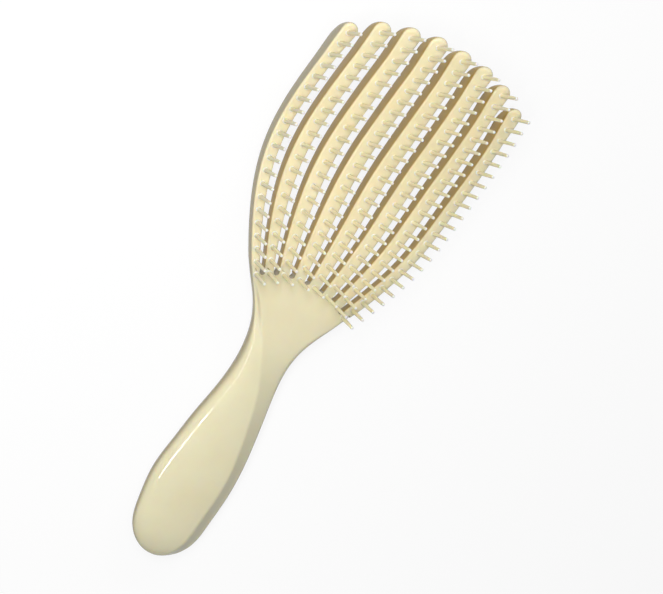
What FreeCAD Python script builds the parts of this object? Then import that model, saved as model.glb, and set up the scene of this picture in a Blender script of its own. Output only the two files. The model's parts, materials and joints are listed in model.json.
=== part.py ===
import FreeCAD, Part
import math
import os

# A vented detangling brush that lies on its back, pins up.
# X runs across the head, Y from the handle to the rib tips, Z up through the pins.
# Stations along the brush are measured from the neck, positive towards the tips.
# The origin is under the middle of the whole brush, on the surface that it lies on.

# Overall lengths
handle_length = 87.0
head_length = 154.4

# Handle and palm
handle_half_width = 18.5
neck_half_width = 11.4
handle_height = 14.0
side_height = 8.0
palm_face_height = 11.5
palm_length = 42.2
palm_drop = 6.0
palm_edge_round = 1.4
shell_wall = 2.4
parting_height = 5.0
belly_sink = 0.5
crest_half_width = 0.6

# Locating pegs between the two shells
peg_radius = 2.0
peg_boss_radius = 3.6
peg_height = 5.0
peg_clearance = 0.05

# Ribs
rib_count = 8
head_half_width = 42.4
rib_root_depth = 4.8
rib_tip_depth = 8.4
rib_front_wall = 2.2
rib_side_wall = 1.3
slot_width = 5.4
left_flank_width = 0.5
right_flank_width = 1.3
flank_length = 32.0
tip_drop = 13.3
tip_round_share = 0.9
tip_flare = 0.9
tip_flare_length = 18.0
tip_edge_depth = 3.0
tip_taper_length = 8.0
rib_channel_start = 7.0
rib_channel_end = 5.0
curl_start = 80.0
curl_radius = 90.0
curl_angle = 18.0

# Rib roots: a half-round knuckle in a socket of the palm
hinge_offset = 4.4
hinge_clearance = 0.1
hinge_side_clearance = 0.15
hinge_lip = 1.0

# Pins
pin_length = 13.0
pin_root_radius = 0.85
pin_tip_radius = 0.68
pin_pitch = 5.35
pin_seat = 1.2
pin_hole_clearance = 0.02
palm_pin_offset = 0.6
tip_pin_margin = 4.2
base_pin_lean = -6.0

# One overrun for all cuts
overrun = 20.0

# Half spread of the outer rib's middle line, as shares: along the head, of head_half_width
spread_shares = (
    (0.0, 0.505),
    (0.05, 0.580),
    (0.16, 0.742),
    (0.30, 0.895),
    (0.44, 0.975),
    (0.60, 1.0),
    (0.76, 0.985),
    (0.90, 0.950),
    (1.0, 0.940),
)
# How far the tips fall back from the longest rib, from the left rib to the right one, as shares:
# place across the head, of tip_drop
tip_shares = (
    (-1.0, 1.0),
    (-0.72, 0.50),
    (-0.43, 0.20),
    (-0.14, 0.025),
    (0.14, 0.0),
    (0.43, 0.03),
    (0.72, 0.20),
    (1.0, 0.60),
)
# How much further apart the inner ribs stand than the outer ones
inner_spread_share = 0.05
# Width of the slots between the ribs, as shares: along the head, of slot_width
slot_shares = (
    (0.0, 0.42),
    (0.10, 0.54),
    (0.22, 0.72),
    (0.40, 0.93),
    (0.55, 1.0),
    (0.80, 1.0),
    (1.0, 0.96),
)
# Sections of the handle, from the start of its round end to the neck, as shares:
# station of handle_length, half width of handle_half_width, underside of handle_height,
# ridge across the half width, ridge height of handle_height,
# shoulder across the half width, shoulder height of handle_height, crown of handle_height,
# sway to the side of handle_half_width
handle_shares = (
    (-0.770, 0.905, 0.02, 0.600, 0.980, 0.915, 0.690, 0.110, -0.160),
    (-0.600, 0.975, -0.02, 0.620, 1.020, 0.910, 0.735, 0.110, -0.135),
    (-0.440, 0.915, 0.00, 0.580, 1.030, 0.905, 0.750, 0.100, -0.070),
    (-0.300, 0.825, 0.05, 0.490, 1.030, 0.890, 0.760, 0.085, -0.035),
    (-0.160, 0.705, 0.09, 0.345, 1.020, 0.870, 0.770, 0.060, 0.005),
)
# Sections of the neck and palm up to the rib roots, as shares:
# station of palm_length, rise of the half width from neck to palm, underside of palm_face_height,
# ridge across the half width, ridge height above the palm face, shoulder across the half width,
# shoulder height of palm_face_height, crown of palm_face_height, sway to the side of neck_half_width
palm_shares = (
    (-0.060, 0.000, 0.12, 0.070, 1.000, 0.840, 0.935, 0.020, 0.045),
    (0.245, 0.010, 0.07, -0.450, 0.720, 0.840, 0.945, -0.060, 0.065),
    (0.460, 0.200, 0.00, -0.770, 0.330, 0.880, 0.965, -0.230, 0.100),
    (0.700, 0.625, -0.03, -0.905, 0.080, 0.930, 0.995, -0.230, 0.105),
)
# Heights of the palm's underside past its last table row, as shares of the rib's back
root_underside_shares = ((0.87, 0.25), (1.02, 1.0), (1.22, 1.0))
# Places of the locating pegs along the handle, as shares of handle_length
peg_shares = (-0.74, -0.42, -0.12)
# Angles of the sections that round the end of the handle, as shares of a right angle
end_shares = (0.36, 0.62, 0.82, 0.95)

# Shapes of the curves of a section, as shares of the runs between its corners
side_curve_share = 0.95
crown_run_share = 0.42
top_curve_share = 0.33
top_drop_share = 0.30
shoulder_run_share = 0.60
shoulder_rise_share = 0.18
round_share = 0.55
belly_share = 0.62
crest_curve_share = 0.6
# Handles of a curve that draws a quarter of a circle, as a share of its radius
quarter_round_share = 0.5523
# Counts of points along curves, and how the points of a rib's outline gather towards its tip
plan_steps = 14
plan_gather = 1.5
profile_steps = 36
slot_steps = 5
walk_steps = 1200

V = FreeCAD.Vector
half_step = 1 / 2
neck_y = (handle_length - head_length) / 2
rib_back = palm_face_height - rib_root_depth
knuckle_radius = rib_root_depth / 2
hinge_height = palm_face_height - knuckle_radius
rib_root = palm_length - palm_drop
curl = math.radians(curl_angle)


def smooth_value(table, along):
    """Read a table of (place, value) pairs with a smooth curve through them."""
    places = [row[0] for row in table]
    values = [row[1] for row in table]
    last = len(table) - 1
    slopes = []
    for n in range(len(table)):
        low = max(n - 1, 0)
        high = min(n + 1, last)
        slopes.append((values[high] - values[low]) / (places[high] - places[low]))
    n = 0
    while n < last - 1 and along > places[n + 1]:
        n += 1
    span = places[n + 1] - places[n]
    t = (along - places[n]) / span
    bend = (
        (1 + 2 * t) * (1 - t) ** 2 * values[n]
        + t * t * (3 - 2 * t) * values[n + 1]
        + t * (1 - t) ** 2 * span * slopes[n]
        + t * t * (t - 1) * span * slopes[n + 1]
    )
    return bend


def head_share(station):
    """Place of a station along the head, from the outer rib's root to the middle tips."""
    return (station - rib_root) / (head_length - rib_root)


def spread(station):
    return head_half_width * smooth_value(spread_shares, head_share(station))


def slot_gap(station):
    return slot_width * smooth_value(slot_shares, head_share(station))


def line_share(number):
    """Middle line of a rib, or of a slot at a half number, as a share of the outer rib's spread."""
    even = (2 * number - rib_count - 1) / (rib_count - 1)
    return even * (1 + inner_spread_share * (1 - even * even))


def flare(number, station):
    """Extra half width of a rib near its tip."""
    tip = rib_tip(line_share(number))
    share = min(max((station - tip) / tip_flare_length + 1, 0.0), 1.0)
    return tip_flare * share * share * (3 - 2 * share)


def flank(number, side, station):
    """Extra width of the outer side of an outer rib near the palm."""
    outer, width = (rib_count, right_flank_width) if side > 0 else (1, left_flank_width)
    past = min(max((station - rib_root) / flank_length, 0.0), 1.0)
    return width * (1 - past * past * (3 - 2 * past)) if number == outer else 0.0


def rib_edge(number, side, station):
    """X of one edge of a rib: side is -1 for its left edge and 1 for its right edge."""
    between = line_share(number + side * half_step) * spread(station)
    wider = flare(number, station) + flank(number, side, station)
    return between + side * (wider - slot_gap(station) / 2)


def slot_end(share):
    return palm_length - palm_drop * share * share


def rib_tip(share):
    return head_length - tip_drop * smooth_value(tip_shares, share)


def hinge_station(share):
    return slot_end(share) + hinge_offset


def face_rise(station):
    """Height of the rib faces above the palm face."""
    past = station - curl_start
    arc_run = curl_radius * math.sin(curl)
    if past <= 0:
        return 0.0
    if past <= arc_run:
        return curl_radius - math.sqrt(curl_radius**2 - past**2)
    return curl_radius * (1 - math.cos(curl)) + (past - arc_run) * math.tan(curl)


def rib_depth(station):
    """Depth of the ribs under their faces, growing smoothly from the roots to the tips."""
    share = min(max((station - palm_length) / (head_length - palm_length), 0.0), 1.0)
    return rib_root_depth + (rib_tip_depth - rib_root_depth) * share * share * (3 - 2 * share)


def tapered_depth(tip):
    """Depth along a rib with its tip at a station: its back rounds up towards the tip."""

    def depth(station):
        past = min(max((station - tip) / tip_taper_length + 1, 0.0), 1.0)
        full = rib_depth(station)
        return tip_edge_depth + (full - tip_edge_depth) * math.cos(past * math.pi / 2)

    return depth


def at(x, station, z):
    return V(x, station + neck_y, z)


def box(x_low, x_high, low, high, z_low, z_high):
    corner = at(x_low, low, z_low)
    return Part.makeBox(x_high - x_low, high - low, z_high - z_low, corner)


def smooth_edge(points):
    curve = Part.BSplineCurve()
    curve.interpolate(points)
    return curve.toShape()


def bezier_edge(points):
    curve = Part.BezierCurve()
    curve.setPoles(points)
    return curve.toShape()


def split_curve(poles, place):
    """The two parts of a Bezier curve that is cut at a place from 0 to 1."""
    low = [poles[0]]
    high = [poles[-1]]
    row = poles
    while len(row) > 1:
        row = [a * (1 - place) + b * place for a, b in zip(row, row[1:])]
        low.append(row[0])
        high.append(row[-1])
    return low, high[::-1]


def crest_place(poles):
    """How far along a curve the soft ridge reaches."""
    return min(crest_half_width / (poles[-1] - poles[0]).Length, half_step)


def soft_ridge(left, top):
    """Round the ridge where two curves meet: the first curve, the crest and the second curve."""
    before = split_curve(left, 1 - crest_place(left))[0]
    after = split_curve(top, crest_place(top))[1]
    rise = (before[-1] - before[-2]).normalize() * (left[-1] - before[-1]).Length
    fall = (after[1] - after[0]).normalize() * (after[0] - top[0]).Length
    crest = [
        before[-1],
        before[-1] + rise * crest_curve_share,
        after[0] - fall * crest_curve_share,
        after[0],
    ]
    return [bezier_edge(poles) for poles in (before, crest, after)]


# Handle and palm


class Section:
    """One cross section of the handle or palm: its corners, all in one plane across Y."""

    def __init__(self, station, half, bottom, ridge, shoulder, crown, side, sway):
        self.station = station
        self.half = half
        self.bottom = bottom
        self.ridge = ridge
        self.shoulder = shoulder
        self.crown = crown
        self.side = side
        self.sway = sway

    def wire(self, inset, shrink, station):
        """The outline, set in by a wall and shrunk about its middle, moved to a station."""
        half = self.half - inset
        middle = self.side

        def point(x, z):
            return at(self.sway + x * shrink, station, middle + (z - middle) * shrink)

        bottom = self.bottom + inset
        ridge_x = max(min(self.ridge[0], half - inset), inset - half)
        ridge_z = self.ridge[1] - inset
        shoulder_x = self.shoulder[0] - inset
        shoulder_z = self.shoulder[1] - inset
        crown_z = ridge_z + self.crown
        left_run = half + ridge_x
        top_run = shoulder_x - ridge_x
        right_run = half - shoulder_x
        left_rise = ridge_z - middle
        right_rise = shoulder_z - middle
        belly = middle - bottom
        left = [
            point(-half, middle),
            point(-half, middle + left_rise * side_curve_share),
            point(ridge_x - left_run * crown_run_share, crown_z),
            point(ridge_x, ridge_z),
        ]
        top = [
            point(ridge_x, ridge_z),
            point(ridge_x + top_run * top_curve_share, ridge_z + (shoulder_z - ridge_z) * top_drop_share),
            point(shoulder_x - right_run * shoulder_run_share, shoulder_z + right_rise * shoulder_rise_share),
            point(shoulder_x, shoulder_z),
        ]
        right = bezier_edge([
            point(shoulder_x, shoulder_z),
            point(shoulder_x + right_run * round_share, shoulder_z - right_rise * shoulder_rise_share),
            point(half, middle + right_rise * round_share),
            point(half, middle),
        ])
        back_right = bezier_edge([
            point(half, middle),
            point(half, middle - belly * belly_share),
            point(half * belly_share, bottom),
            point(0, bottom),
        ])
        back_left = bezier_edge([
            point(0, bottom),
            point(-half * belly_share, bottom),
            point(-half, middle - belly * belly_share),
            point(-half, middle),
        ])
        return Part.Wire(soft_ridge(left, top) + [right, back_right, back_left])


def handle_section(row):
    along, wide, under, ridge_x, ridge_z, shoulder_x, shoulder_z, crown, sway = row
    half = handle_half_width * wide
    return Section(
        handle_length * along,
        half,
        handle_height * under - belly_sink,
        (half * ridge_x, handle_height * ridge_z),
        (half * shoulder_x, handle_height * shoulder_z),
        handle_height * crown,
        side_height,
        handle_half_width * sway,
    )


def palm_section(row):
    along, wide, under, ridge_x, rise, shoulder_x, shoulder_z, crown, sway = row
    palm_half = rib_edge(rib_count, 1, rib_root)
    half = neck_half_width + (palm_half - neck_half_width) * wide
    ridge_z = palm_face_height + (handle_height - palm_face_height) * rise
    return Section(
        palm_length * along,
        half,
        palm_face_height * under - belly_sink,
        (half * ridge_x, ridge_z),
        (half * shoulder_x, palm_face_height * shoulder_z),
        palm_face_height * crown,
        hinge_height + (side_height - hinge_height) * rise,
        neck_half_width * sway,
    )


def root_section(row):
    along, under = row
    station = palm_length * along
    left = rib_edge(1, -1, station)
    right = rib_edge(rib_count, 1, station)
    half = (right - left) / 2
    return Section(
        station,
        half,
        rib_back * under - belly_sink * (1 - under),
        (palm_edge_round - half, palm_face_height),
        (half - palm_edge_round, palm_face_height),
        0,
        hinge_height,
        (left + right) / 2,
    )


def body_sections():
    sections = [handle_section(row) for row in handle_shares]
    sections += [palm_section(row) for row in palm_shares]
    sections += [root_section(row) for row in root_underside_shares]
    return sections


def handle_end_wires(section, inset):
    """Sections that shrink along an ellipse, to round the end of the handle."""
    run = handle_length + section.station - inset
    wires = []
    for share in reversed(end_shares):
        turn = share * math.pi / 2
        wires.append(section.wire(inset, math.cos(turn), section.station - run * math.sin(turn)))
    return wires


def body_solid():
    sections = body_sections()
    wires = handle_end_wires(sections[0], 0)
    wires += [section.wire(0, 1, section.station) for section in sections]
    solid = Part.makeLoft(wires, True, False)
    reach = head_length + handle_length
    return solid.common(box(-reach, reach, -reach, reach, 0, reach))


def cavity_solid():
    """The hollow inside the handle and neck."""
    sections = body_sections()[: len(handle_shares) + 2]
    wires = handle_end_wires(sections[0], shell_wall)
    wires += [section.wire(shell_wall, 1, section.station) for section in sections]
    return Part.makeLoft(wires, True, False)


def rib_plan(number, grow, low, high):
    """Plan outline of a rib between two stations, grown sideways, with a round tip if it reaches it."""
    tip = rib_tip(line_share(number))
    tip_half = (rib_edge(number, 1, tip) - rib_edge(number, -1, tip)) / 2
    end = min(high, tip - tip_half * tip_round_share)
    steps = [low + (end - low) * (1 - (1 - n / plan_steps) ** plan_gather) for n in range(plan_steps + 1)]
    left = [at(rib_edge(number, -1, s) - grow, s, 0) for s in steps]
    right = [at(rib_edge(number, 1, s) + grow, s, 0) for s in reversed(steps)]
    root = Part.LineSegment(right[-1], left[0]).toShape()
    if high < tip:
        cap = Part.LineSegment(left[-1], right[0]).toShape()
        return Part.Face(Part.Wire([smooth_edge(left), cap, smooth_edge(right), root]))
    across = (right[0] - left[-1]) / 2
    ahead = V(0, tip - end, 0)
    crown = left[-1] + across + ahead
    pull = across * quarter_round_share
    push = ahead * quarter_round_share
    cap_left = bezier_edge([left[-1], left[-1] + push, crown - pull, crown])
    cap_right = bezier_edge([crown, crown + pull, right[0] + push, right[0]])
    return Part.Face(Part.Wire([smooth_edge(left), cap_left, cap_right, smooth_edge(right), root]))


def upright(face, z_low, z_high):
    moved = face.copy()
    moved.translate(V(0, 0, z_low))
    return moved.extrude(V(0, 0, z_high - z_low))


def curled_layer(low, height, under):
    """The layer under the curled rib faces down to a smooth underside, across the whole head."""
    reach = 2 * head_half_width
    past = head_length + overrun
    steps = [palm_length + (past - palm_length) * n / profile_steps for n in range(profile_steps + 1)]
    upper = [at(-reach, s, palm_face_height + face_rise(s) - height) for s in steps]
    lower = [at(-reach, s, palm_face_height + face_rise(s) - under(s)) for s in reversed(steps)]
    near_top = at(-reach, low, palm_face_height - height)
    near_back = at(-reach, low, palm_face_height - under(palm_length))
    edges = [
        Part.LineSegment(near_top, upper[0]).toShape(),
        smooth_edge(upper),
        Part.LineSegment(upper[-1], lower[0]).toShape(),
        smooth_edge(lower),
        Part.LineSegment(lower[-1], near_back).toShape(),
        Part.LineSegment(near_back, near_top).toShape(),
    ]
    return Part.Face(Part.Wire(edges)).extrude(V(2 * reach, 0, 0))


def knuckle(share, radius):
    """A bar across the whole head on the hinge line of a rib."""
    reach = 2 * head_half_width
    start = at(-reach, hinge_station(share), hinge_height)
    return Part.makeCylinder(radius, 2 * reach, start, V(1, 0, 0))


# Pins


def pin(x, station, face_z, lean):
    """A tapered pin with a round tip, seated in a blind hole under the face."""
    taper = pin_length - pin_tip_radius
    shank = Part.makeCylinder(pin_root_radius, pin_seat)
    cone = Part.makeCone(pin_root_radius, pin_tip_radius, taper, V(0, 0, pin_seat))
    tip = Part.makeSphere(pin_tip_radius, V(0, 0, pin_seat + taper))
    solid = shank.fuse([cone, tip]).removeSplitter()
    return seat(solid, x, station, face_z, lean)


def pin_hole(x, station, face_z, lean):
    solid = Part.makeCylinder(pin_root_radius + pin_hole_clearance, pin_seat + pin_length)
    return seat(solid, x, station, face_z, lean)


def seat(solid, x, station, face_z, lean):
    solid.rotate(V(0, 0, pin_seat), V(1, 0, 0), -lean)
    solid.translate(at(x, station, face_z - pin_seat))
    return solid


def pin_places(number):
    """Station and lean of each pin of a rib, evenly spaced along its curved middle line."""
    share = line_share(number)
    first = slot_end(share) + palm_pin_offset
    last = rib_tip(share) - tip_pin_margin
    fine = [first + (last - first) * n / walk_steps for n in range(walk_steps + 1)]
    walked = [0.0]
    for a, b in zip(fine, fine[1:]):
        step = V(share * (spread(b) - spread(a)), b - a, face_rise(b) - face_rise(a))
        walked.append(walked[-1] + step.Length)
    count = round(walked[-1] / pin_pitch)
    places = []
    for n in range(count + 1):
        goal = walked[-1] * n / count
        k = min(range(len(walked)), key=lambda i: abs(walked[i] - goal))
        lean = base_pin_lean * max(0.0, 1 - 2 * n / count)
        places.append((share * spread(fine[k]), fine[k], palm_face_height + face_rise(fine[k]), lean))
    return places


# The shells


def peg_places():
    return [handle_length * share for share in peg_shares]


def shells():
    body = body_solid()
    cavity = cavity_solid()
    reach = head_length + handle_length
    pegs = [at(0, station, 0) for station in peg_places()]
    bosses = [Part.makeCylinder(peg_boss_radius, reach, point) for point in pegs]
    filled = body.common(bosses[0].fuse(bosses[1:]))
    hollow = body.cut(cavity).fuse(filled)
    upper = box(-reach, reach, -reach, reach, parting_height, reach)
    lower = box(-reach, reach, -reach, reach, -reach, parting_height)
    front = hollow.common(upper)
    back = hollow.common(lower)
    peg_foot = V(0, 0, parting_height - shell_wall)
    studs = [Part.makeCylinder(peg_radius, peg_height + shell_wall, p + peg_foot) for p in pegs]
    hole_radius = peg_radius + peg_clearance
    hole_depth = peg_height + peg_clearance
    hole_foot = V(0, 0, parting_height)
    holes = [Part.makeCylinder(hole_radius, hole_depth, p + hole_foot) for p in pegs]
    front = front.cut(holes).cut(palm_cuts())
    back = back.fuse(studs).cut(palm_cuts())
    return front, back


def palm_cuts():
    """What the slots and the sockets of the rib roots take from the palm."""
    reach = head_length
    cuts = []
    for number in range(1, rib_count):
        cuts.append(slot_cut(line_share(number + half_step)))
    for number in range(1, rib_count + 1):
        share = line_share(number)
        hinge = hinge_station(share)
        left = line_share(number - half_step) * spread(hinge) if number > 1 else -reach
        right = line_share(number + half_step) * spread(hinge) if number < rib_count else reach
        cuts.append(box(left, right, hinge - hinge_lip, reach, -reach, reach))
        plan = rib_plan(number, hinge_side_clearance, rib_root - overrun / 2, hinge + overrun)
        socket = knuckle(share, knuckle_radius + hinge_clearance)
        cuts.append(socket.common(upright(plan, 0, palm_face_height)))
    return cuts


def slot_cut(share):
    """One slot between two ribs near the palm, with its round end."""
    low = slot_end(share)
    half = slot_gap(low) / 2
    start = low + half
    far = palm_length + overrun
    steps = [start + (far - start) * n / slot_steps for n in range(slot_steps + 1)]
    left = [at(share * spread(s) - slot_gap(s) / 2, s, 0) for s in steps]
    right = [at(share * spread(s) + slot_gap(s) / 2, s, 0) for s in reversed(steps)]
    end = Part.Arc(right[-1], at(share * spread(low), low, 0), left[0]).toShape()
    far_edge = Part.LineSegment(left[-1], right[0]).toShape()
    face = Part.Face(Part.Wire([smooth_edge(left), far_edge, smooth_edge(right), end]))
    return upright(face, -overrun, palm_face_height + overrun)


# The ribs


def rib(number):
    """A curled rib with a half-round root, cored out from behind."""
    share = line_share(number)
    tip = rib_tip(share)
    hinge = hinge_station(share)
    low = hinge - knuckle_radius - hinge_lip
    top = head_length
    plan = upright(rib_plan(number, 0, low, top + overrun), 0, top)
    ahead = box(-top, top, hinge, top + overrun, 0, top)
    band = curled_layer(low - overrun, 0, tapered_depth(tip))
    blade = plan.common(band).common(ahead)
    root = plan.common(knuckle(share, knuckle_radius))
    core_plan = rib_plan(number, -rib_side_wall, hinge + rib_channel_start, tip - rib_channel_end)
    core_band = curled_layer(low - overrun, rib_front_wall, lambda s: rib_depth(s) + overrun)
    core = upright(core_plan, -overrun, top).common(core_band)
    return blade.fuse(root).removeSplitter().cut(core)


def export(name, shape):
    shape.exportStep("parts/" + name + ".step")


def main():
    os.makedirs("parts", exist_ok=True)
    front, back = shells()
    palm_pins = []
    for number in range(1, rib_count + 1):
        places = pin_places(number)
        front = front.cut(pin_hole(*places[0]))
        palm_pins.append(pin(*places[0]))
        blade = rib(number).cut([pin_hole(*place) for place in places[1:]])
        export("rib_%d" % number, blade)
        export("pins_%d" % number, Part.makeCompound([pin(*place) for place in places[1:]]))
    export("palm_pins", Part.makeCompound(palm_pins))
    export("front_shell", front)
    export("back_shell", back)


main()
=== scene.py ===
from collections import namedtuple
import json
import math

import bmesh
import bpy
from mathutils import Matrix, Vector
from mathutils.bvhtree import BVHTree


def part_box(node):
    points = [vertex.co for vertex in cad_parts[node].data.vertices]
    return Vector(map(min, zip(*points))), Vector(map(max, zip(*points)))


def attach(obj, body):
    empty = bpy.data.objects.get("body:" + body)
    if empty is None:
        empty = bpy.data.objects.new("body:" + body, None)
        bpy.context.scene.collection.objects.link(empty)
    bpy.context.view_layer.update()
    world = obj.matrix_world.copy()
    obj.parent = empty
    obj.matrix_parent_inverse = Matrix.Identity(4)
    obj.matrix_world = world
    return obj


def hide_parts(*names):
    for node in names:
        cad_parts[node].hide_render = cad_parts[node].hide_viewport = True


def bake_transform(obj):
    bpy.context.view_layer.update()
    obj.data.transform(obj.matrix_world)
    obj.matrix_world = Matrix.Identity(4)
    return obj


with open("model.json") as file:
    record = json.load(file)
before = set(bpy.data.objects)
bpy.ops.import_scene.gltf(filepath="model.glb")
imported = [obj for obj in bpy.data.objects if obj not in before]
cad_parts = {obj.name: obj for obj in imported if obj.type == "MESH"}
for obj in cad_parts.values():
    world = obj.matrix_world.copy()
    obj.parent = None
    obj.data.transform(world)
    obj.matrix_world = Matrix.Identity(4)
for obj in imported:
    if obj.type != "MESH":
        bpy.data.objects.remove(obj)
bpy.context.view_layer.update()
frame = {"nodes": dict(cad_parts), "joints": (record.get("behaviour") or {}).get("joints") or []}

# Camera, from the photograph's viewing angle: metres, degrees, pixels, and the sensor in millimetres
camera_target = Vector((0.01283, 0.00874, 0.0115))
camera_distance = 0.55
camera_tilt_across = 25.83
camera_tilt_along = 2.45
camera_roll = 28.12
image_width = 663
focal_pixels = 1325.2
sensor_width = 36.0

# Root of a rib, metres: overlap on the palm, reach of the bend, and how far and how long it stands proud
rib_overlap = 0.0015
rib_bend_start = 0.0010
rib_skin = 0.00006
rib_root_run = 0.0040

# Edges of a rib, metres: inset of the flat front, radii of the rounded edges, and the run of the tip
rib_flat_margin = 0.0003
rib_edge_round = 0.0009
rib_tip_round = 0.0014
rib_tip_run = 0.0070
rib_back_round = 0.0004
palm_edge_round = 0.0014
palm_back_round = 0.0020

# Channel in the back of a rib, metres: the walls left round it, and its distance from hinge and tip
rib_side_wall = 0.0013
rib_front_wall = 0.0022
rib_channel_start = 0.0070
rib_channel_end = 0.0050
rib_channel_draft = 0.0003

# Counts for a rib's skin
rib_count = len(frame["joints"])
rib_stations = 54
rib_root_rows = 4
rib_tip_stations = 9
round_steps = 5
face_samples = 60

# Pins: metres and counts, and the shares of seat and tip radius whose points place the foot and the tip
pin_radius = 0.00085
pin_tip_radius = 0.00068
pin_foot_radius = 0.00125
pin_foot_height = 0.0009
pin_seat = 0.0012
pin_sink = 0.0005
pin_foot_layer_share = 0.25
pin_tip_layer_share = 0.125
pin_sides = 14
pin_foot_steps = 4
pin_tip_steps = 5

# Meshes: metres and degrees
merge_distance = 1e-7
ray_distance = 1.0
sharp_angle = 38

# Colours of the plastic, linear; the side tones are painted shade, and the pins' near-white upper tones a
# painted highlight
ivory_light = (0.86, 0.795, 0.545, 1)
ivory_deep = (0.835, 0.76, 0.50, 1)
# Painted shade: the darker tone that palm and handle take on walls and bevels that face away from upwards
ivory_side_shade = (0.53, 0.455, 0.275, 1)
rib_light = (0.885, 0.79, 0.535, 1)
rib_deep = (0.86, 0.755, 0.485, 1)
# Painted shade: a deep brown tone on the rib walls that face a neighbouring rib, where shade falls
rib_side_shade = (0.55, 0.38, 0.095, 1)
# Painted highlight: the pins' upper faces, their tips, are painted near white; their sides keep the deeper
# cream tone
pin_top_highlight = (0.98, 0.96, 0.88, 1)
pin_top_highlight_deep = (0.97, 0.94, 0.83, 1)
pin_side = (0.94, 0.85, 0.58, 1)
white = (1, 1, 1, 1)

# Surface of the plastic: gloss, clouding, and the light that passes under the surface, its radii in metres
gloss_level = 0.4
ivory_roughness = (0.05, 0.09)
rib_roughness = (0.16, 0.26)
pin_roughness = (0.2, 0.3)
moulding_grain = 60
pin_grain = 400
cloud_detail = 4
cloud_range = (0.3, 0.7)
moulding_glow_share = 0.25
pin_glow_share = 0.3
glow_radius = (0.0040, 0.0022, 0.0006)
glow_scale = 1.0

# Upward part of a normal over which the painted shade of the side walls turns into the tone of the faces
side_shade_range = (0.1, 0.75)
# Rib walls that face open air and take the palm's lighter painted shade instead of the ribs' deeper one: an
# axis, and a range of the normal along it
flank_turn = 0.3
tip_face = ("Y", 0.75, 0.95)
left_face = ("X", 0, -flank_turn)
right_face = ("X", 0, flank_turn)

# Floor and world: metres and levels
floor_half = 4.0
floor_bounce = 0.20
floor_glow = 0.88
world_low = 0.05
world_high = 0.14

# Lamps: metres and watts
top_power = 0.60
top_place = (-0.16, 0.05, 0.33)
top_target = (0, 0, 0)
top_width = 0.22
end_power = 0.55
end_place = (0, 0.45, 0.28)
end_target = (0, 0.1, 0.02)
end_width = 0.30
end_height = 0.12
# Strips that draw the streak on the handle: watts per metre, and pairs of place along the brush and length
strip_power = 4.4
strip_width = 0.006
strip_side = -0.36
strip_height = 0.55
strip_aim_ahead = 0.02
strip_aim_height = 0.01
strips = ((-0.1355, 0.209), (0.007, 0.030), (0.150, 0.200))

# A rib's measures across one station along it
Row = namedtuple("Row", "y left right face back")


def new_material(name):
    material = bpy.data.materials.new(name)
    material.use_nodes = True
    tree = material.node_tree
    tree.nodes.clear()
    return material, tree


def ranged(tree, value, end, low, high):
    """A Map Range node on a value, with one of its two ranges set, From or To."""
    node = tree.nodes.new("ShaderNodeMapRange")
    node.inputs[end + " Min"].default_value = low
    node.inputs[end + " Max"].default_value = high
    tree.links.new(value, node.inputs["Value"])
    return node


def tone_mix(tree, factor, tone):
    """A colour mix that starts from a tone."""
    node = tree.nodes.new("ShaderNodeMix")
    node.data_type = "RGBA"
    node.inputs["A"].default_value = tone
    tree.links.new(factor, node.inputs["Factor"])
    return node


def plastic(name, light, deep, side, roughness, grain, glow_share, open_sides=()):
    """Glossy moulded plastic: slight clouding, painted shade as a deeper tone on its side walls, and an
    uneven gloss.
    """
    material, tree = new_material(name)
    nodes = tree.nodes
    links = tree.links
    output = nodes.new("ShaderNodeOutputMaterial")
    shader = nodes.new("ShaderNodeBsdfPrincipled")
    place = nodes.new("ShaderNodeTexCoord")
    clouds = nodes.new("ShaderNodeTexNoise")
    clouds.inputs["Scale"].default_value = grain
    clouds.inputs["Detail"].default_value = cloud_detail
    links.new(place.outputs["Object"], clouds.inputs["Vector"])
    ramp = nodes.new("ShaderNodeValToRGB")
    for element, position, colour in zip(ramp.color_ramp.elements, cloud_range, (deep, light)):
        element.position = position
        element.color = colour
    links.new(clouds.outputs["Fac"], ramp.inputs["Fac"])
    gloss = ranged(tree, clouds.outputs["Fac"], "To", *roughness)
    shape = nodes.new("ShaderNodeNewGeometry")
    split = nodes.new("ShaderNodeSeparateXYZ")
    links.new(shape.outputs["Normal"], split.inputs["Vector"])
    # Painted shade: surfaces that face away from upwards take the side tone
    upward = ranged(tree, split.outputs["Z"], "From", *side_shade_range)
    upward.interpolation_type = "SMOOTHSTEP"
    tone = tone_mix(tree, upward.outputs["Result"], side)
    links.new(ramp.outputs["Color"], tone.inputs["B"])
    wall = tone.inputs["A"]
    # Painted shade: walls in open air get the palm's lighter shade tone, walls between ribs keep the deeper
    # one
    for axis, low, high in open_sides:
        open_air = ranged(tree, split.outputs[axis], "From", low, high)
        lit = tone_mix(tree, open_air.outputs["Result"], side)
        lit.inputs["B"].default_value = ivory_side_shade
        links.new(lit.outputs["Result"], wall)
        wall = lit.inputs["A"]
    links.new(tone.outputs["Result"], shader.inputs["Base Color"])
    links.new(gloss.outputs["Result"], shader.inputs["Roughness"])
    shader.inputs["Specular IOR Level"].default_value = gloss_level
    shader.inputs["Subsurface Weight"].default_value = glow_share
    shader.inputs["Subsurface Radius"].default_value = glow_radius
    shader.inputs["Subsurface Scale"].default_value = glow_scale
    links.new(shader.outputs["BSDF"], output.inputs["Surface"])
    return material


def rib_plastics():
    """Plastic by rib number: the first and last rib have a wall in open air, with lighter painted shade,
    and 0 is for the others.
    """
    open_sides = {0: [tip_face], 1: [tip_face, left_face], rib_count: [tip_face, right_face]}
    plastics = {}
    for number, sides in open_sides.items():
        name = "rib_plastic_moulded_%d" % number
        plastics[number] = plastic(
            name, rib_light, rib_deep, rib_side_shade, rib_roughness, moulding_grain, moulding_glow_share, sides
        )
    return plastics


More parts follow.
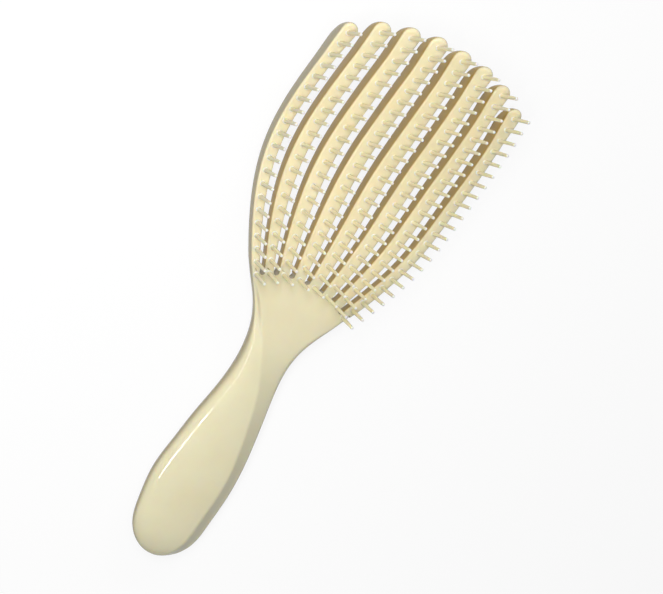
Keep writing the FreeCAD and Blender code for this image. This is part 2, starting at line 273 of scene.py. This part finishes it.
def background_rays(tree):
    """One for the rays that meet the white background: camera, glossy and transmission rays."""
    path = tree.nodes.new("ShaderNodeLightPath")
    seen = path.outputs["Is Camera Ray"]
    for ray in ("Is Glossy Ray", "Is Transmission Ray"):
        either = tree.nodes.new("ShaderNodeMath")
        either.operation = "MAXIMUM"
        tree.links.new(seen, either.inputs[0])
        tree.links.new(path.outputs[ray], either.inputs[1])
        seen = either.outputs[0]
    return seen


def floor_material():
    """A white floor that still takes the object's shadow."""
    material, tree = new_material("floor_white")
    nodes = tree.nodes
    links = tree.links
    output = nodes.new("ShaderNodeOutputMaterial")
    matte = nodes.new("ShaderNodeBsdfDiffuse")
    matte.inputs["Color"].default_value = (floor_bounce, floor_bounce, floor_bounce, 1)
    pale = nodes.new("ShaderNodeBsdfDiffuse")
    pale.inputs["Color"].default_value = white
    glow = nodes.new("ShaderNodeEmission")
    glow.inputs["Color"].default_value = white
    shown = nodes.new("ShaderNodeMixShader")
    shown.inputs["Fac"].default_value = floor_glow
    mix = nodes.new("ShaderNodeMixShader")
    links.new(pale.outputs["BSDF"], shown.inputs[1])
    links.new(glow.outputs["Emission"], shown.inputs[2])
    links.new(background_rays(tree), mix.inputs["Fac"])
    links.new(matte.outputs["BSDF"], mix.inputs[1])
    links.new(shown.outputs["Shader"], mix.inputs[2])
    links.new(mix.outputs["Shader"], output.inputs["Surface"])
    return material


def make_floor():
    mesh = bpy.data.meshes.new("floor")
    signs = ((-1, -1), (1, -1), (1, 1), (-1, 1))
    corners = [(floor_half * x, floor_half * y, 0) for x, y in signs]
    mesh.from_pydata(corners, [], [(0, 1, 2, 3)])
    floor = bpy.data.objects.new("floor", mesh)
    mesh.materials.append(floor_material())
    bpy.context.scene.collection.objects.link(floor)


def make_world():
    """A dim sky that grows lighter upwards, white where the background is seen or reflected."""
    world = bpy.data.worlds.new("studio")
    world.use_nodes = True
    bpy.context.scene.world = world
    tree = world.node_tree
    tree.nodes.clear()
    output = tree.nodes.new("ShaderNodeOutputWorld")
    place = tree.nodes.new("ShaderNodeTexCoord")
    split = tree.nodes.new("ShaderNodeSeparateXYZ")
    tree.links.new(place.outputs["Generated"], split.inputs["Vector"])
    level = ranged(tree, split.outputs["Z"], "To", world_low, world_high)
    fill = tree.nodes.new("ShaderNodeBackground")
    tree.links.new(level.outputs["Result"], fill.inputs["Color"])
    backdrop = tree.nodes.new("ShaderNodeBackground")
    backdrop.inputs["Color"].default_value = white
    mix = tree.nodes.new("ShaderNodeMixShader")
    tree.links.new(background_rays(tree), mix.inputs["Fac"])
    tree.links.new(fill.outputs["Background"], mix.inputs[1])
    tree.links.new(backdrop.outputs["Background"], mix.inputs[2])
    tree.links.new(mix.outputs["Shader"], output.inputs["Surface"])


def area_light(name, place, target, width, height, power):
    lamp = bpy.data.lights.new(name, "AREA")
    lamp.shape = "RECTANGLE"
    lamp.size = width
    lamp.size_y = height
    lamp.energy = power
    light = bpy.data.objects.new(name, lamp)
    light.location = place
    light.rotation_mode = "QUATERNION"
    light.rotation_quaternion = (Vector(target) - Vector(place)).to_track_quat("-Z", "Y")
    bpy.context.scene.collection.objects.link(light)
    return light


def make_lights():
    """Two softboxes, the upper one kept out of reflections, and the strips that the handle reflects."""
    softbox = area_light("top_softbox", top_place, top_target, top_width, top_width, top_power)
    softbox.visible_glossy = False
    area_light("end_softbox", end_place, end_target, end_width, end_height, end_power)
    for number, (along, length) in enumerate(strips, 1):
        place = (strip_side, along, strip_height)
        target = (0, along + strip_aim_ahead, strip_aim_height)
        area_light("left_strip_%d" % number, place, target, length, strip_width, strip_power * length)


def make_camera():
    across = math.radians(camera_tilt_across)
    along = math.radians(camera_tilt_along)
    roll = math.radians(camera_roll)
    back = Vector((
        -math.sin(across) * math.cos(along),
        math.sin(along),
        math.cos(across) * math.cos(along),
    ))
    right = Vector((0, 1, 0)).cross(back).normalized()
    up = back.cross(right)
    camera_x = right * math.cos(roll) + up * math.sin(roll)
    camera_y = up * math.cos(roll) - right * math.sin(roll)
    place = camera_target + back * camera_distance
    data = bpy.data.cameras.new("camera")
    data.sensor_width = sensor_width
    data.lens = focal_pixels / image_width * sensor_width
    camera = bpy.data.objects.new("camera", data)
    turned = Matrix((camera_x, camera_y, back)).transposed().to_4x4()
    camera.matrix_world = Matrix.Translation(place) @ turned
    bpy.context.scene.collection.objects.link(camera)
    bpy.context.scene.camera = camera


def ease(share):
    """Smooth step from 0 to 1."""
    share = min(max(share, 0.0), 1.0)
    return share * share * (3 - 2 * share)


def quarter_turns(steps):
    """Sine and cosine at even steps over a quarter turn, both ends among them."""
    turns = [math.pi / 2 * n / steps for n in range(steps + 1)]
    return [(math.sin(turn), math.cos(turn)) for turn in turns]


def mesh_object(name, points, faces, material):
    """A smooth closed mesh of one material, its faces turned outwards."""
    mesh = bpy.data.meshes.new(name)
    mesh.from_pydata(points, [], faces)
    joined = bmesh.new()
    joined.from_mesh(mesh)
    bmesh.ops.remove_doubles(joined, verts=joined.verts, dist=merge_distance)
    bmesh.ops.recalc_face_normals(joined, faces=joined.faces)
    joined.to_mesh(mesh)
    joined.free()
    mesh.shade_smooth()
    mesh.set_sharp_from_angle(angle=math.radians(sharp_angle))
    mesh.materials.append(material)
    piece = bpy.data.objects.new(name, mesh)
    bpy.context.scene.collection.objects.link(piece)
    return piece


def rib_joint(number):
    return next(j for j in frame["joints"] if j["child"] == "rib_%d_body" % number)


def bend(piece):
    """Bake a piece's placement into its points."""
    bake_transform(piece)


class RibShape:
    """Outline and heights of a rib, read from its solid by rays."""

    def __init__(self, node):
        mesh = node.data
        self.tree = BVHTree.FromPolygons(
            [v.co for v in mesh.vertices], [p.vertices for p in mesh.polygons]
        )
        self.low, self.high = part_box(node.name)

    def hit(self, x, y, z, direction):
        return self.tree.ray_cast(Vector((x, y, z)), Vector(direction))[0]

    def face_height(self, y):
        """Highest point of the rib across a station."""
        width = self.high.x - self.low.x
        places = [self.low.x + width * n / face_samples for n in range(1, face_samples)]
        above = self.high.z + ray_distance
        hits = [self.hit(x, y, above, (0, 0, -1)) for x in places]
        return max(hit.z for hit in hits if hit)

    def edges(self, y, z):
        left = self.hit(self.low.x - ray_distance, y, z, (1, 0, 0))
        right = self.hit(self.high.x + ray_distance, y, z, (-1, 0, 0))
        return left.x, right.x

    def back_height(self, x, y):
        return self.hit(x, y, self.low.z - ray_distance, (0, 0, 1)).z


def measured_rows(shape, hinge):
    """Rows along a rib from its hinge to just before its tip."""
    tip = shape.high.y
    plain_run = tip - rib_tip_run - hinge
    stations = [hinge + rib_skin + plain_run * n / rib_stations for n in range(rib_stations)]
    stations += [tip - rib_tip_run * (1 - sine) for sine, cosine in quarter_turns(rib_tip_stations)[:-1]]
    rows = []
    for y in stations:
        face = shape.face_height(y)
        left, right = shape.edges(y, face - rib_edge_round)
        inside = min(rib_side_wall, right - left) / 2
        rows.append(Row(y, left, right, face, shape.back_height(left + inside, y)))
    return rows


def extended(rows, start, hinge):
    """Carry the first measured rows back over the palm in a straight line."""
    first, second = rows[:2]
    root = []
    for n in range(rib_root_rows):
        y = start + (hinge - start) * n / rib_root_rows
        along = (y - first.y) / (second.y - first.y)
        left = first.left + (second.left - first.left) * along
        right = first.right + (second.right - first.right) * along
        root.append(Row(y, left, right, first.face, first.back))
    return root + rows


def between(rows, y):
    """A row at a station between the measured ones."""
    for low, high in zip(rows, rows[1:]):
        if y <= high.y:
            share = (y - low.y) / (high.y - low.y)
            return Row(*(a + (b - a) * share for a, b in zip(low, high)))
    return rows[-1]


def rib_outline(rows, tip):
    """Points round a rib from its left root over the tip to its right root, with their rows."""
    last = rows[-1]
    middle = (last.left + last.right) / 2
    tip_row = Row(tip, middle, middle, last.face, last.back)
    outline = [(Vector((row.left, row.y)), row) for row in rows]
    outline.append((Vector((middle, tip)), tip_row))
    outline += [(Vector((row.right, row.y)), row) for row in reversed(rows)]
    return outline


def inward(outline):
    """Unit normals that point into the outline."""
    normals = []
    last = len(outline) - 1
    for n in range(len(outline)):
        ahead = outline[min(n + 1, last)][0] - outline[max(n - 1, 0)][0]
        normals.append(Vector((ahead.y, -ahead.x)).normalized())
    return normals


class RibSkin:
    """A rib with rounded edges, from the palm to its tip, cored out from behind.

    Its rings follow the outline, so point n of each ring belongs to point n of the outline.
    """

    def __init__(self, number, shape, hinge):
        self.number = number
        self.hinge = hinge
        self.tip = shape.high.y
        self.start = hinge - rib_overlap - rib_bend_start
        self.rows = extended(measured_rows(shape, hinge), self.start, hinge)
        outline = rib_outline(self.rows, self.tip)
        self.places = [place for place, row in outline]
        self.row_at = [row for place, row in outline]
        self.normals = inward(outline)
        self.count = len(outline)
        self.middle = self.count // 2

    def root_share(self, n):
        """One at the start of the skin, none past the root."""
        return 1 - ease((self.row_at[n].y - self.start) / rib_root_run)

    def outer(self, n):
        """Whether a point is on the outer side of the first or the last rib."""
        first_side = self.number == 1 and n < self.middle
        last_side = self.number == rib_count and n > self.middle
        return first_side or last_side

    def top_round(self, n):
        near_tip = ease(1 - (self.tip - self.row_at[n].y) / rib_tip_run)
        plain = rib_edge_round + (rib_tip_round - rib_edge_round) * near_tip
        root = palm_edge_round if self.outer(n) else rib_edge_round
        return plain + (root - plain) * self.root_share(n)

    def back_round(self, n):
        root = palm_back_round if self.outer(n) else rib_back_round
        return rib_back_round + (root - rib_back_round) * self.root_share(n)

    def top(self, n):
        return self.row_at[n].face + rib_skin * self.root_share(n)

    def back(self, n):
        return self.row_at[n].back - rib_skin * self.root_share(n)

    def at_inset(self, n, inset, z):
        grown = rib_skin * self.root_share(n)
        place = self.places[n] + self.normals[n] * (inset - grown)
        return (place.x, place.y, z)

    def front_margin(self, n):
        return self.at_inset(n, self.top_round(n) + rib_flat_margin, self.top(n))

    def front_edge(self, n, sine, cosine):
        radius = self.top_round(n)
        return self.at_inset(n, radius * (1 - sine), self.top(n) - radius * (1 - cosine))

    def back_edge(self, n, sine, cosine):
        radius = self.back_round(n)
        return self.at_inset(n, radius * (1 - cosine), self.back(n) + radius * (1 - sine))

    def channel_row(self, n):
        """The row that a point of the channel lies on."""
        near = self.hinge + rib_channel_start
        far = self.tip - rib_channel_end
        y = near + (far - near) * (self.row_at[n].y - self.start) / (self.tip - self.start)
        return between(self.rows, y)

    def channel_x(self, n, row, inset):
        if n < self.middle:
            return row.left + inset
        if n > self.middle:
            return row.right - inset
        return (row.left + row.right) / 2

    def channel_mouth(self, n):
        row = self.channel_row(n)
        return (self.channel_x(n, row, rib_side_wall), row.y, row.back)

    def channel_bottom(self, n):
        row = self.channel_row(n)
        x = self.channel_x(n, row, rib_side_wall + rib_channel_draft)
        return (x, row.y, row.face - rib_front_wall)

    def outer_rings(self):
        """Rings from the front face round the edges to the back."""
        every = range(self.count)
        rings = [[self.front_margin(n) for n in every]]
        for edge in (self.front_edge, self.back_edge):
            rings += [[edge(n, sine, cosine) for n in every] for sine, cosine in quarter_turns(round_steps)]
        return rings

    def channel_rings(self):
        every = range(self.count)
        return [[self.channel_mouth(n) for n in every], [self.channel_bottom(n) for n in every]]

    def mesh(self):
        """Points and faces of the skin."""
        outer_rings = self.outer_rings()
        rings = outer_rings + self.channel_rings()
        points = [point for ring in rings for point in ring]
        faces = self.walls(len(rings)) + self.caps(len(rings)) + self.root_faces(len(outer_rings))
        return points, faces

    def walls(self, total):
        """Faces between each ring and the next."""
        faces = []
        for k in range(total - 1):
            for n in range(self.count - 1):
                a = k * self.count + n
                faces.append((a, a + 1, a + self.count + 1, a + self.count))
        return faces

    def caps(self, total):
        """Faces across the first ring, the front, and across the last one, the bottom of the channel."""
        faces = []
        for k in (0, total - 1):
            for n in range(self.middle):
                a = k * self.count + n
                b = k * self.count + self.count - 1 - n
                at_tip = n + 1 == self.middle
                faces.append((a, a + 1, b) if at_tip else (a, a + 1, b - 1, b))
        return faces

    def root_faces(self, outside):
        """The end face over the palm, the back up to the channel's mouth, and the channel's near wall."""
        near_side = [k * self.count for k in range(outside)]
        far_side = [k * self.count + self.count - 1 for k in reversed(range(outside))]
        faces = [near_side + far_side]
        for k in (outside - 1, outside):
            a = k * self.count
            faces.append((a, a + self.count, a + 2 * self.count - 1, a + self.count - 1))
        return faces


def rib_piece(number, material):
    """The skin that replaces a rib's solid, its placement baked into its points."""
    node = frame["nodes"]["rib_%d" % number]
    joint = rib_joint(number)
    hinge = joint["pos_m"][1]
    points, faces = RibSkin(number, RibShape(node), hinge).mesh()
    piece = mesh_object("comb_rib_%d" % number, points, faces, material)
    bend(piece)
    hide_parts(node.name)


def vertex_groups(mesh):
    """Places of the vertices of each loose part of a mesh."""
    loose = bmesh.new()
    loose.from_mesh(mesh)
    bmesh.ops.remove_doubles(loose, verts=loose.verts, dist=merge_distance)
    groups = []
    seen = set()
    for first in loose.verts:
        if first in seen:
            continue
        seen.add(first)
        group = [first]
        for vert in group:
            for edge in vert.link_edges:
                other = edge.other_vert(vert)
                if other not in seen:
                    seen.add(other)
                    group.append(other)
        groups.append([vert.co.copy() for vert in group])
    loose.free()
    return groups


def pin_lines(node):
    """Foot and tip of each pin of a node."""
    lines = []
    for group in vertex_groups(node.data):
        bottom = min(place.z for place in group)
        top = max(place.z for place in group)
        feet = [place for place in group if place.z < bottom + pin_seat * pin_foot_layer_share]
        tips = [place for place in group if place.z > top - pin_tip_radius * pin_tip_layer_share]
        foot = sum(feet, Vector()) / len(feet)
        tip = sum(tips, Vector()) / len(tips)
        lines.append((foot, Vector((foot.x, tip.y, top))))
    lines.sort(key=lambda line: (line[0].y, line[0].x))
    return lines


def pin_profile(length):
    """Radius and height of a pin from under its face to its round tip."""
    steps = [(pin_foot_radius, -pin_sink)]
    for sine, cosine in quarter_turns(pin_foot_steps):
        radius = pin_foot_radius - (pin_foot_radius - pin_radius) * sine
        steps.append((radius, pin_foot_height * (1 - cosine)))
    for sine, cosine in quarter_turns(pin_tip_steps):
        steps.append((pin_tip_radius * cosine, length - pin_tip_radius * (1 - sine)))
    return steps


def pin_skin(foot, tip, base):
    """Points and faces of one pin, its points numbered from base on."""
    axis = (tip - foot).normalized()
    face = foot + axis * pin_seat
    side = axis.orthogonal().normalized()
    other = axis.cross(side)
    rings = pin_profile((tip - face).length)[:-1]
    points = []
    for radius, height in rings:
        for n in range(pin_sides):
            turn = 2 * math.pi * n / pin_sides
            out = side * math.cos(turn) + other * math.sin(turn)
            points.append(face + axis * height + out * radius)
    points.append(tip)
    apex = base + len(points) - 1
    faces = []
    for k in range(len(rings)):
        for n in range(pin_sides):
            a = base + k * pin_sides + n
            b = base + k * pin_sides + (n + 1) % pin_sides
            at_tip = k + 1 == len(rings)
            faces.append((a, b, apex) if at_tip else (a, b, b + pin_sides, a + pin_sides))
    faces.append([base + n for n in range(pin_sides)])
    return points, faces


def pins_piece(name, node_name, material):
    """All pins of a node as one piece, each with a small flared foot."""
    points = []
    faces = []
    for foot, tip in pin_lines(frame["nodes"][node_name]):
        pin_points, pin_faces = pin_skin(foot, tip, len(points))
        points += pin_points
        faces += pin_faces
    piece = mesh_object(name, points, faces, material)
    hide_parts(node_name)
    return piece


# Materials
ivory = plastic(
    "ivory_plastic_painted_shade", ivory_light, ivory_deep, ivory_side_shade,
    ivory_roughness, moulding_grain, moulding_glow_share,
)
cream = rib_plastics()
pale = plastic(
    "pin_plastic_painted_highlight", pin_top_highlight, pin_top_highlight_deep, pin_side,
    pin_roughness, pin_grain, pin_glow_share,
)

# Pieces: the shells are shown as their solids, the ribs and pins get skins of their own
for name, node in frame["nodes"].items():
    node.material_slots[0].material = pale if "pins" in name else ivory
for number in range(1, rib_count + 1):
    rib_piece(number, cream.get(number, cream[0]))
    bend(pins_piece("comb_pins_%d" % number, "pins_%d" % number, pale))
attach(pins_piece("comb_palm_pins", "palm_pins", pale), "root")

# Studio
make_floor()
make_world()
make_lights()
make_camera()
bpy.context.scene.view_settings.view_transform = "Standard"
